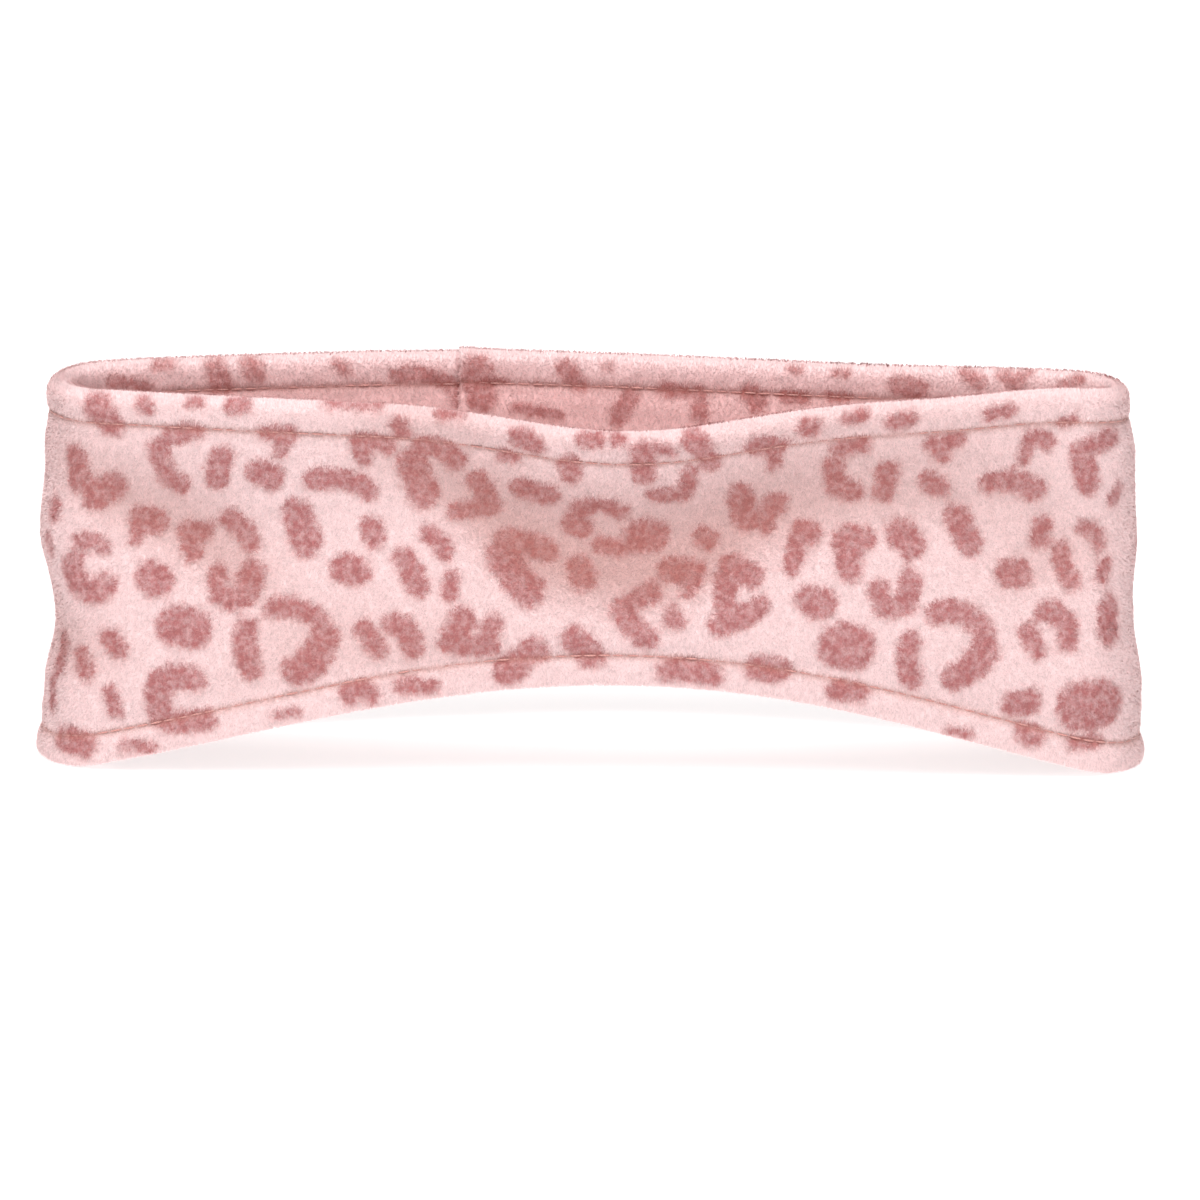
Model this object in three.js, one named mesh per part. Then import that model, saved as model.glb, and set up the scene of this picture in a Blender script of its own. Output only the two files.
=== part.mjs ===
// Fleece headband: a loop of two fleece layers, sewn together along both edges, turned, and topstitched.
// Millimetres, +Z up. The loop stands on its two lobes, its front faces -Y, and the origin is on the
// surface that it stands on, at the middle of the loop.

import * as THREE from "three";

// Size of the loop, outside to outside
const bandWidth = 240;
const bandDepth = 59;
const endRadius = 15; // plan radius of the soft fold at each side, at the middle of the wall

// Edges of the band
const rimHeight = 83.7; // top edge above the surface
const rimDip = 6.2; // the top edge sinks this far at the front
const rimDipWidth = 24; // and comes back over about this much to either side
const rimDipPlace = 8; // lowest point of the dip, to the right of the front centre
const rimWave = 1.5; // the limp top edge strays from level by up to this much
const frontArch = 23.8; // the bottom edge rises this far at the front, between the two ear lobes
const backArch = 19.5;
const archPlace = 5; // top of the arch, to the right of the front centre
const archRoundness = 1.2; // 1 is a plain half wave, more is broader at the lobes
const hemSettle = 0.6; // the lobes are pressed flat by this much where they stand

// Cloth
const outerThick = 2.6; // one layer with its pile
const liningThick = 2.4;
const edgeBulk = 2.9; // one layer over the seam allowances that fill the rolled edge
const stitchMargin = 6.5; // topstitching from the edge
const stitchPinch = 1.3; // one layer where the stitches pull it in
const besidePinch = 0.9; // share of a layer's thickness right beside the stitching
const layerGap = 0.3;
const wallSway = 4; // how far the limp wall strays from upright
const dentDepth = 3; // deepest of the soft dents

// Back seam, where the two ends of the strip are joined
const seamPlace = 29; // to the left of the middle of the back
const seamCrease = 0.9; // how deep the seam is drawn in
const creaseWidth = 1.1;
const seamLap = 1.3; // the end with the seam allowances behind it stands proud by this much
const seamLift = 0.9; // and its top edge is this much higher
const lapLength = 7;

// Fineness of the mesh
const panelSteps = 24; // sections along the front, and along the back
const endSteps = 13; // sections round each side
const seamSteps = [-9, -3.5, -1.2, -0.3, 0.6, 2.4];
const bodyShares = [0.05, 0.14, 0.26, 0.38, 0.5, 0.62, 0.74, 0.86, 0.95];
const gapShares = [1, 0.82, 0.62, 0.42, 0.22, 0];

// How the wall leans at each side of the loop, from the bottom edge up, as shares of wallSway
const lean = [
  { height: 0.0, right: 0.0, left: 0.0, front: 0.3, back: 0.2 },
  { height: 0.2, right: -0.3, left: -0.6, front: 0.3, back: 0.1 },
  { height: 0.4, right: -0.65, left: -1.0, front: 0.0, back: -0.1 },
  { height: 0.6, right: -0.3, left: -0.15, front: -0.35, back: -0.2 },
  { height: 0.8, right: -0.5, left: -0.4, front: -0.25, back: 0.0 },
  { height: 1.0, right: -1.0, left: -0.7, front: 0.0, back: 0.1 },
];

// Soft dents: place round the loop and width as shares of its length, height and tallness as shares of
// the band's height, depth as a share of dentDepth. A negative depth is a bulge.
const dents = [
  { place: 0.02, width: 0.1, height: 0.62, tall: 0.13, depth: 0.8 },
  { place: 0.02, width: 0.16, height: 0.25, tall: 0.2, depth: -0.7 },
  { place: -0.14, width: 0.05, height: 0.62, tall: 0.14, depth: 0.75 },
  { place: -0.09, width: 0.03, height: 0.36, tall: 0.13, depth: 0.4 },
  { place: 0.19, width: 0.035, height: 0.55, tall: 0.14, depth: 0.6 },
  { place: 0.1, width: 0.05, height: 0.66, tall: 0.1, depth: 0.3 },
  { place: 0.2, width: 0.03, height: 1.0, tall: 0.3, depth: 0.9 },
  { place: 0.36, width: 0.06, height: 0.55, tall: 0.2, depth: 0.5 },
  { place: 0.5, width: 0.08, height: 0.3, tall: 0.2, depth: -0.4 },
  { place: 0.64, width: 0.06, height: 0.65, tall: 0.18, depth: 0.5 },
];

// Waves of the top edge: place and width as shares of the loop, sink as a share of rimWave
const waves = [
  { place: 0.2, width: 0.025, sink: -0.8 },
  { place: 0.25, width: 0.03, sink: 0.5 },
  { place: 0.38, width: 0.07, sink: 0.9 },
  { place: 0.56, width: 0.05, sink: -0.3 },
  { place: 0.75, width: 0.03, sink: 0.3 },
  { place: -0.12, width: 0.08, sink: 0.5 },
];

// The rolled edge from its seam outwards: out as a share of edgeBulk, in as a share of stitchMargin
const edgeRoll = [
  { out: 0.0, in: 0.07 },
  { out: 0.2, in: 0.0 },
  { out: 0.58, in: 0.0 },
  { out: 0.88, in: 0.13 },
  { out: 1.0, in: 0.34 },
  { out: 0.93, in: 0.62 },
  { out: 0.74, in: 0.86 },
];

// Plan of the middle of the wall: an oval of four arcs, two at the sides and two along front and back
const halfWidth = bandWidth / 2 - layerGap / 2 - edgeBulk;
const halfDepth = bandDepth / 2 - layerGap / 2 - edgeBulk;
const endCentre = halfWidth - endRadius;
const panelRadius =
  (endCentre ** 2 + halfDepth ** 2 - endRadius ** 2) / (2 * (halfDepth - endRadius));
const endAngle = Math.atan2(panelRadius - halfDepth, endCentre); // half of what a side arc turns
const panelAngle = Math.PI / 2 - endAngle; // half of what a front or back arc turns
const panelLength = 2 * panelAngle * panelRadius;
const endLength = 2 * endAngle * endRadius;
const loopLength = 2 * (panelLength + endLength);

// Point and outward direction of the oval, s mm round from the front centre towards +X
function ovalAt(s) {
  const half = loopLength / 2;
  const round = ((s % loopLength) + loopLength) % loopLength;
  const fromBack = round >= half;
  const along = fromBack ? round - half : round;
  let x, y, angle;
  if (along < panelLength / 2) {
    angle = -Math.PI / 2 + along / panelRadius;
    x = panelRadius * Math.cos(angle);
    y = panelRadius - halfDepth + panelRadius * Math.sin(angle);
  } else if (along < panelLength / 2 + endLength) {
    angle = -endAngle + (along - panelLength / 2) / endRadius;
    x = endCentre + endRadius * Math.cos(angle);
    y = endRadius * Math.sin(angle);
  } else {
    angle = endAngle + (along - panelLength / 2 - endLength) / panelRadius;
    x = panelRadius * Math.cos(angle);
    y = halfDepth - panelRadius + panelRadius * Math.sin(angle);
  }
  const turn = fromBack ? -1 : 1;
  return { x: turn * x, y: turn * y, nx: turn * Math.cos(angle), ny: turn * Math.sin(angle) };
}

// Distance round the loop from one place to another, the short way
function roundTo(s, place) {
  const gap = (((s - place) % loopLength) + loopLength) % loopLength;
  return gap > loopLength / 2 ? gap - loopLength : gap;
}

const bell = (gap, width) => Math.exp(-0.5 * (gap / width) ** 2);

// 1 at the back seam on the side that stands proud, fading away from it, and 0 on the other side
function lapAt(s) {
  const gap = roundTo(s, loopLength / 2 + seamPlace);
  return gap < 0 ? Math.exp(gap / lapLength) : 0;
}

// What the back seam adds to the thickness of a layer
function seamBulk(s, inner) {
  const gap = roundTo(s, loopLength / 2 + seamPlace);
  const crease = -seamCrease * Math.exp(-Math.abs(gap) / creaseWidth);
  return inner && gap < 0 ? seamLap * lapAt(s) : crease;
}

// Height of the top edge and of the bottom edge
function rimAt(s) {
  let rim = rimHeight - rimDip * bell(roundTo(s, rimDipPlace), rimDipWidth);
  for (const w of waves) {
    rim -= rimWave * w.sink * bell(roundTo(s, w.place * loopLength), w.width * loopLength);
  }
  return rim + seamLift * lapAt(s);
}

function hemAt(s) {
  const at = ovalAt(s);
  const arch = at.y < 0 ? frontArch : backArch;
  const across = at.x / halfWidth;
  const fromTop = Math.abs(across - (archPlace / halfWidth) * (1 - across ** 2));
  const rise = Math.cos((Math.PI / 2) * Math.min(1, fromTop));
  return Math.max(0, arch * rise ** archRoundness - hemSettle);
}

// Smooth reading of one column of the lean table
function leanAt(height, side) {
  const high = lean.find((row) => row.height >= height) ?? lean.at(-1);
  const low = lean[Math.max(0, lean.indexOf(high) - 1)];
  return THREE.MathUtils.lerp(
    low[side],
    high[side],
    THREE.MathUtils.smoothstep(height, low.height, high.height),
  );
}

// How far the middle of the wall stands outside the oval
function swayAt(s, height) {
  const at = ovalAt(s);
  const side = at.nx > 0 ? "right" : "left";
  const panel = at.ny < 0 ? "front" : "back";
  let sway =
    wallSway * (at.nx ** 2 * leanAt(height, side) + at.ny ** 2 * leanAt(height, panel));
  for (const d of dents) {
    const along = bell(roundTo(s, d.place * loopLength), d.width * loopLength);
    sway -= dentDepth * d.depth * along * bell(height - d.height, d.tall);
  }
  return sway;
}

// One layer's section as rows: share of the way up, mm beyond that, and mm out from the gap between the
// layers. The rows from the last shown one down are the face that lies against the other layer.
function sectionOf(thick) {
  const hem = edgeRoll.map((e) => ({ share: 0, up: e.in * stitchMargin, out: e.out * edgeBulk }));
  const rim = edgeRoll.map((e) => ({ share: 1, up: -e.in * stitchMargin, out: e.out * edgeBulk }));
  const between = (share, out) => ({ share, up: (1 - 2 * share) * stitchMargin, out });
  const body = bodyShares.map((share) => between(share, thick));
  body[0].out *= besidePinch;
  body.at(-1).out *= besidePinch;
  const hidden = gapShares.map((share) => ({
    share,
    up: (1 - 2 * share) * edgeRoll[0].in * stitchMargin,
    out: 0,
  }));
  return [
    ...hem.slice(1),
    between(0, stitchPinch),
    ...body,
    between(1, stitchPinch),
    ...rim.slice(1).reverse(),
    ...hidden,
  ];
}

// Places of the sections round the loop
function sectionPlaces() {
  const places = [];
  const seam = loopLength / 2 + seamPlace;
  let start = -panelLength / 2;
  for (const [length, steps] of [
    [panelLength, panelSteps],
    [endLength, endSteps],
    [panelLength, panelSteps],
    [endLength, endSteps],
  ]) {
    for (let i = 0; i < steps; i++) places.push(start + (length * i) / steps);
    start += length;
  }
  const nearest = Math.max(...seamSteps.map(Math.abs));
  const kept = places.filter((s) => Math.abs(s - seam) > nearest);
  return [...kept, ...seamSteps.map((step) => seam + step)].sort((a, b) => a - b);
}

// A closed ring of cloth: one section swept round the loop. The side is 1 for the outer layer and -1 for
// the lining.
function layerGeometry(thick, side) {
  const section = sectionOf(thick);
  const places = sectionPlaces();
  const positions = [];
  for (const s of places) {
    const at = ovalAt(s);
    const rim = rimAt(s);
    const hem = hemAt(s);
    for (const row of section) {
      const z = hem + row.share * (rim - hem) + row.up;
      const bulk = seamBulk(s, side < 0) * Math.min(1, row.out / thick);
      const out = layerGap / 2 + row.out + bulk;
      const from = swayAt(s, (z - hem) / (rim - hem)) + side * out;
      positions.push(at.x + at.nx * from, at.y + at.ny * from, z);
    }
  }
  const rows = section.length;
  const triangles = [];
  for (let i = 0; i < places.length; i++) {
    const next = (i + 1) % places.length;
    for (let j = 0; j < rows; j++) {
      const up = (j + 1) % rows;
      const [a, b, c, d] = [i * rows + j, next * rows + j, next * rows + up, i * rows + up];
      triangles.push(...(side > 0 ? [a, b, c, a, c, d] : [a, c, b, a, d, c]));
    }
  }
  const geometry = new THREE.BufferGeometry();
  geometry.setAttribute("position", new THREE.Float32BufferAttribute(positions, 3));
  geometry.setIndex(triangles);
  geometry.computeVertexNormals();
  return geometry;
}

function fleece(colour) {
  return new THREE.MeshStandardMaterial({ color: colour, roughness: 0.95, metalness: 0 });
}

const headband = new THREE.Group();
headband.name = "fleece_headband";

const outerLayer = new THREE.Mesh(layerGeometry(outerThick, 1), fleece("#efc6c3"));
outerLayer.name = "outer_layer";
headband.add(outerLayer);

const liningLayer = new THREE.Mesh(layerGeometry(liningThick, -1), fleece("#e9bab7"));
liningLayer.name = "lining_layer";
headband.add(liningLayer);

// The lean and the dents move the outline a little, so the loop is set over the origin at the end
const outline = new THREE.Box3().setFromObject(headband);
const middle = outline.getCenter(new THREE.Vector3());
headband.position.set(-middle.x, -middle.y, -outline.min.z);

export default headband;
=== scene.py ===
import math

import bpy
import numpy as np
from mathutils import Matrix, Vector, noise


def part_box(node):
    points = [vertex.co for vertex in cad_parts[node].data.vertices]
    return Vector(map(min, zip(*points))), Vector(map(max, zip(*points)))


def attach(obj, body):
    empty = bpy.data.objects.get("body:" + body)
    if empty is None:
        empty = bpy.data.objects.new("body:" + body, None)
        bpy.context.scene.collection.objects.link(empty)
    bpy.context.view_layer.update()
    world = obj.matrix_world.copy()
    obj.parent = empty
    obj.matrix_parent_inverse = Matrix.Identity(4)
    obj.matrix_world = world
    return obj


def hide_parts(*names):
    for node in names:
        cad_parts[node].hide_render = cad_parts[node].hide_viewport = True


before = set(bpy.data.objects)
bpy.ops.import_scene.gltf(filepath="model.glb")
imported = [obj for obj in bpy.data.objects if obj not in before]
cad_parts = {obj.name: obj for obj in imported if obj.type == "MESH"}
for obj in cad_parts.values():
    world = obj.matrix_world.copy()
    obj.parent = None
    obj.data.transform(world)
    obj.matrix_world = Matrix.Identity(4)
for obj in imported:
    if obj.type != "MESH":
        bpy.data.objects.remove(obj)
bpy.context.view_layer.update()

# Leopard print fleece headband, standing open on its two ear lobes. Metres, +Z up, the front faces -Y.
# "along" runs round the loop from the middle of the front towards +X, and "up" from the surface it
# stands on, both on the cloth itself.

mm = 0.001
print("frame loaded")

band = {
    "width": 240 * mm,  # outside to outside
    "depth": 59 * mm,
    "endRadius": 15 * mm,  # plan radius of the soft fold at each side
    "rimHeight": 83.1 * mm,
    "rimDip": 6.2 * mm,  # the top edge sinks this far at the front
    "rimDipWidth": 24 * mm,
    "rimDipPlace": 8 * mm,
    "rimWave": 1.5 * mm,
    "frontArch": 23.8 * mm,  # rise of the bottom edge between the two lobes
    "backArch": 19.5 * mm,
    "archPlace": 5 * mm,
    "archRoundness": 1.2,
    "hemSettle": 0.6 * mm,  # the lobes are pressed flat by this much
    "wallSway": 4 * mm,  # how far the limp wall strays from upright
    "dentDepth": 3 * mm,
}

cloth = {
    "outerThick": 2.6 * mm,  # one layer with its pile
    "liningThick": 2.4 * mm,
    "edgeBulk": 2.9 * mm,  # one layer over the seam allowances in the rolled edge
    "stitchMargin": 6.5 * mm,  # topstitching from the edge
    "stitchPinch": 2.35 * mm,  # one layer where the stitches pull it in, its pile bridging the seam
    "layerGap": 0.3 * mm,
    "columns": 440,  # fineness of the mesh round the loop
    "finerAtSeam": 5.0,  # the columns lie this much closer beside the back seam
    "seamSteps": 4001,  # points at which that closeness is worked out
    "rows": 86,  # and across the shown face of a layer
    "finerAtStitch": 3.0,  # the rows lie this much closer beside the stitching
    "finerReach": 2.2 * mm,
}

backSeam = {
    "place": 29 * mm,  # to the left of the middle of the back
    "crease": 1.5 * mm,
    "creaseWidth": 0.6 * mm,
    "lap": 1.3 * mm,  # the end with the seam allowances behind it stands proud by this much
    "lift": 0.9 * mm,
    "lapLength": 7 * mm,
}

# How the wall leans at each side of the loop, from the bottom edge up, as shares of wallSway
lean = {
    "height": [0.0, 0.2, 0.4, 0.6, 0.8, 1.0],
    "right": [0.0, -0.3, -0.65, -0.3, -0.5, -1.0],
    "left": [0.0, -0.6, -1.0, -0.15, -0.4, -0.7],
    "front": [0.3, 0.3, 0.0, -0.35, -0.25, 0.0],
    "back": [0.2, 0.1, -0.1, -0.2, 0.0, 0.1],
}

# Soft dents: place and width as shares of the loop, height of the middle and tallness as shares of the
# band's height, depth as a share of dentDepth
dents = [
    (0.02, 0.1, 0.62, 0.13, 0.8),
    (0.02, 0.16, 0.25, 0.2, -0.7),
    (-0.14, 0.05, 0.62, 0.14, 0.75),
    (-0.09, 0.03, 0.36, 0.13, 0.4),
    (0.19, 0.035, 0.55, 0.14, 0.6),
    (0.1, 0.05, 0.66, 0.1, 0.3),
    (0.2, 0.03, 1.0, 0.3, 0.9),
    (0.36, 0.06, 0.55, 0.2, 0.5),
    (0.5, 0.08, 0.3, 0.2, -0.4),
    (0.64, 0.06, 0.65, 0.18, 0.5),
]

# Folds of the limp wall. Each line is the bottom of a soft fold that hangs over it: places along and up
# the cloth in millimetres, with the share of the depth there.
folds = [
    {
        "line": [
            (-52, 72, 0.0),
            (-43, 71, 0.45),
            (-30, 64, 0.7),
            (-17, 51, 1.0),
            (2, 46, 1.0),
            (23, 48, 1.0),
            (35, 57, 0.8),
            (55, 62, 0.6),
            (78, 62, 0.4),
            (97, 60, 0.2),
            (107, 58, 0.0),
        ],
        "depth": 3.4 * mm,
        "above": 13 * mm,
        "below": 5 * mm,
    },
    {
        "line": [
            (-126, 68, 0.0),
            (-116, 66, 0.5),
            (-105, 60, 0.8),
            (-90, 54, 0.9),
            (-75, 47, 1.0),
            (-66, 40, 0.0),
        ],
        "depth": 2.6 * mm,
        "above": 8 * mm,
        "below": 5 * mm,
    },
    {
        "line": [(-128, 26, 0.0), (-118, 27, 0.9), (-110, 24, 0.9), (-100, 27, 0.0)],
        "depth": 2.4 * mm,
        "above": 6 * mm,
        "below": 4 * mm,
    },
    {
        "line": [(84, 46, 0.0), (92, 48, 0.7), (101, 48, 0.8), (112, 50, 0.5), (120, 52, 0.0)],
        "depth": 1.8 * mm,
        "above": 6 * mm,
        "below": 5 * mm,
    },
    {
        "line": [
            (-80, 22, 0.0),
            (-70, 27, 0.5),
            (-55, 32, 0.7),
            (-40, 29, 0.55),
            (-24, 31, 0.5),
            (-12, 30, 0.0),
        ],
        "depth": 1.8 * mm,
        "above": 7 * mm,
        "below": 5 * mm,
    },
]
foldSmoothing = 4 * mm

# Waves of the top edge: place and width as shares of the loop, sink as a share of rimWave
waves = [
    (0.2, 0.025, -0.8),
    (0.25, 0.03, 0.5),
    (0.38, 0.07, 0.9),
    (0.56, 0.05, -0.3),
    (0.75, 0.03, 0.3),
    (-0.12, 0.08, 0.5),
]

# The rolled edge from its seam outwards: out as a share of edgeBulk, inwards as a share of stitchMargin
edgeRoll = {
    "out": [0.0, 0.2, 0.58, 0.86, 0.96, 0.92, 0.85],
    "inwards": [0.07, 0.0, 0.0, 0.13, 0.34, 0.62, 0.86],
}

# Plan of the middle of the wall: an oval of four arcs
halfWidth = band["width"] / 2 - cloth["layerGap"] / 2 - cloth["edgeBulk"]
halfDepth = band["depth"] / 2 - cloth["layerGap"] / 2 - cloth["edgeBulk"]
endCentre = halfWidth - band["endRadius"]
squares = endCentre**2 + halfDepth**2 - band["endRadius"] ** 2
panelRadius = squares / (2 * (halfDepth - band["endRadius"]))
endAngle = math.atan2(panelRadius - halfDepth, endCentre)
panelAngle = math.pi / 2 - endAngle
panelLength = 2 * panelAngle * panelRadius
endLength = 2 * endAngle * band["endRadius"]
loopLength = 2 * (panelLength + endLength)
seamAlong = loopLength / 2 + backSeam["place"]


def ovalAt(along):
    # x, y and the outward direction of the oval
    half = loopLength / 2
    around = np.mod(along, loopLength)
    turn = np.where(around >= half, -1.0, 1.0)
    part = np.mod(around, half)
    inFront = part < panelLength / 2
    inEnd = (part >= panelLength / 2) & (part < panelLength / 2 + endLength)
    frontAngle = -math.pi / 2 + part / panelRadius
    sideAngle = -endAngle + (part - panelLength / 2) / band["endRadius"]
    backAngle = endAngle + (part - panelLength / 2 - endLength) / panelRadius
    angle = np.where(inFront, frontAngle, np.where(inEnd, sideAngle, backAngle))
    radius = np.where(inEnd, band["endRadius"], panelRadius)
    centreX = np.where(inEnd, endCentre, 0.0)
    centreY = np.where(inFront, panelRadius - halfDepth, np.where(inEnd, 0.0, halfDepth - panelRadius))
    x = turn * (centreX + radius * np.cos(angle))
    y = turn * (centreY + radius * np.sin(angle))
    return x, y, turn * np.cos(angle), turn * np.sin(angle)


def bell(gap, width):
    return np.exp(-0.5 * (gap / width) ** 2)


def roundTo(along, place):
    return np.mod(along - place + loopLength / 2, loopLength) - loopLength / 2


def lapAt(along):
    gap = roundTo(along, seamAlong)
    return np.where(gap < 0, np.exp(np.minimum(gap, 0) / backSeam["lapLength"]), 0.0)


def rimAt(along):
    dip = bell(roundTo(along, band["rimDipPlace"]), band["rimDipWidth"])
    rim = band["rimHeight"] - band["rimDip"] * dip
    for place, width, sink in waves:
        gap = roundTo(along, place * loopLength)
        rim = rim - band["rimWave"] * sink * bell(gap, width * loopLength)
    return rim + backSeam["lift"] * lapAt(along)


def hemAt(along):
    x, y, _, _ = ovalAt(along)
    arch = np.where(y < 0, band["frontArch"], band["backArch"])
    across = x / halfWidth
    fromTop = np.abs(across - band["archPlace"] / halfWidth * (1 - across**2))
    rise = np.cos(math.pi / 2 * np.minimum(1, fromTop))
    return np.maximum(0, arch * rise ** band["archRoundness"] - band["hemSettle"])


def leanAt(height, side):
    steps = np.clip(height, 0, 1) * (len(lean["height"]) - 1)
    low = np.minimum(np.floor(steps).astype(int), len(lean["height"]) - 2)
    part = steps - low
    ease = part * part * (3 - 2 * part)
    column = np.array(lean[side])
    return column[low] + (column[low + 1] - column[low]) * ease


def swayAt(along, height):
    _, _, outX, outY = ovalAt(along)
    side = np.where(outX > 0, leanAt(height, "right"), leanAt(height, "left"))
    panel = np.where(outY < 0, leanAt(height, "front"), leanAt(height, "back"))
    sway = band["wallSway"] * (outX**2 * side + outY**2 * panel)
    for place, width, middle, tall, depth in dents:
        spread = bell(roundTo(along, place * loopLength), width * loopLength)
        sway = sway - band["dentDepth"] * depth * spread * bell(height - middle, tall)
    return sway


def smoothLine(along, places, values):
    # the values between the places, with the corners rounded off
    steps = [np.interp(along + k * foldSmoothing, places, values) for k in (-2, -1, 0, 1, 2)]
    return sum(steps) / len(steps)


def foldShare(fold, along, up):
    # 1 at the bottom of a fold, fading away above and below it
    places, heights, shares = np.array(fold["line"]).T
    near = roundTo(along, 0)
    away = up - smoothLine(near, places * mm, heights * mm)
    reach = np.where(away > 0, fold["above"], fold["below"])
    return smoothLine(near, places * mm, shares) * bell(away, reach)


def foldAt(along, up):
    return sum(fold["depth"] * foldShare(fold, along, up) for fold in folds)


# Print: one repeat of the leopard spots, charted. A spot is a brush stroke with round ends:
# the middle of the stroke along and up the cloth, its length and width, its direction and its bend in
# degrees where it has one, all lengths in millimetres. A rosette is several strokes.
printRepeat = {
    "width": 244 * mm,
    "swell": 0.2 * mm,  # the dye spreads this far round each stroke
    "edge": 1.5 * mm,
    "wobble": 0.6 * mm,
    "wobbleSize": 2.6 * mm,
}

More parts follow.
